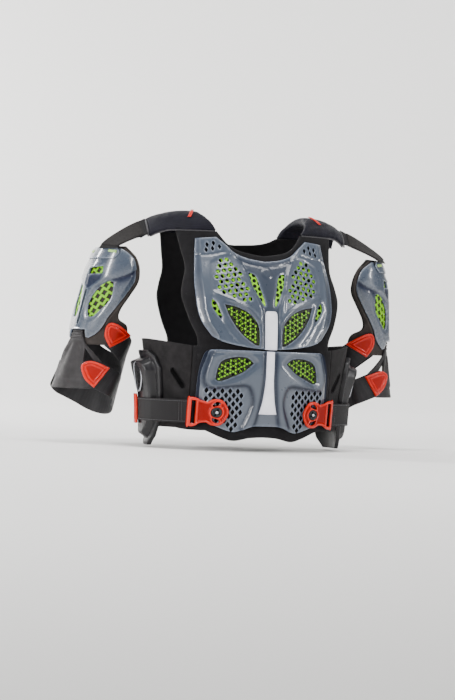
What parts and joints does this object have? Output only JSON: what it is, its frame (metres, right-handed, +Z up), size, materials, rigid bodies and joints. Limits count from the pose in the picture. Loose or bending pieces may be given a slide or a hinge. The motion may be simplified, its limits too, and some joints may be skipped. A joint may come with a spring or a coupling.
{
  "type": "roost deflector",
  "caption": "Motocross chest protector with hard chest and back shells on padding, side guards, shoulder pads and upper-arm guards, in its worn form.",
  "frame": {"origin": "midway between the two places where the shoulder pads bear on the wearer's shoulders; z = 0 is the height where the pads touch the shoulders", "axes": "+Z up the wearer's body, -Y to the front, +X to the wearer's left"},
  "size_m": [0.6034, 0.2789, 0.3844],
  "materials": {
    "shell": "glossy moulded, slate blue-grey",
    "inlay": "glossy, pale grey",
    "foam": "matt black foam with a fabric face",
    "bright": "satin fluorescent yellow-green",
    "side_foam": "satin moulded black",
    "side_mesh": "silver-grey rim and mesh",
    "textile": "matt charcoal webbing and stretch fabric",
    "navy": "matt navy-black fabric",
    "red": "satin red-orange moulded",
    "hub": "satin black",
    "flap": "satin dark grey moulded"
  },
  "bodies": {
    "root": {"chest_padding": "foam", "chest_vent_liner": "bright", "belly_vent_liner": "bright", "chest_shell": "shell", "belly_shell": "shell", "chest_inlay": "inlay", "belly_inlay": "inlay", "back_padding": "foam", "back_shell": "shell", "lumbar_shell": "shell", "side_wrap_left": "textile", "side_wrap_right": "textile", "side_pad_left": "side_foam", "side_pad_right": "side_foam", "side_vent_left": "side_mesh", "side_vent_right": "side_mesh", "waist_strap_left": "textile", "waist_strap_right": "textile", "back_strap_left": "textile", "back_strap_right": "textile", "side_clip_left": "red", "side_clip_right": "red", "buckle_left": "red", "buckle_right": "red", "buckle_hub_left": "hub", "buckle_hub_right": "hub", "shoulder_pad_left": "navy", "shoulder_pad_right": "navy", "brace_tab_left": "red", "brace_tab_right": "red", "shoulder_link_left": "textile", "shoulder_link_right": "textile", "arm_padding_left": "foam", "arm_padding_right": "foam", "arm_vent_liner_left": "bright", "arm_vent_liner_right": "bright", "arm_shell_left": "shell", "arm_shell_right": "shell", "arm_cap_left": "shell", "arm_cap_right": "shell", "arm_flap_left": "flap", "arm_flap_right": "flap", "upper_anchor_left": "red", "upper_anchor_right": "red", "lower_anchor_left": "red", "lower_anchor_right": "red", "upper_band_left": "textile", "upper_band_right": "textile", "lower_band_left": "textile", "lower_band_right": "textile"}
  },
  "joints": []
}
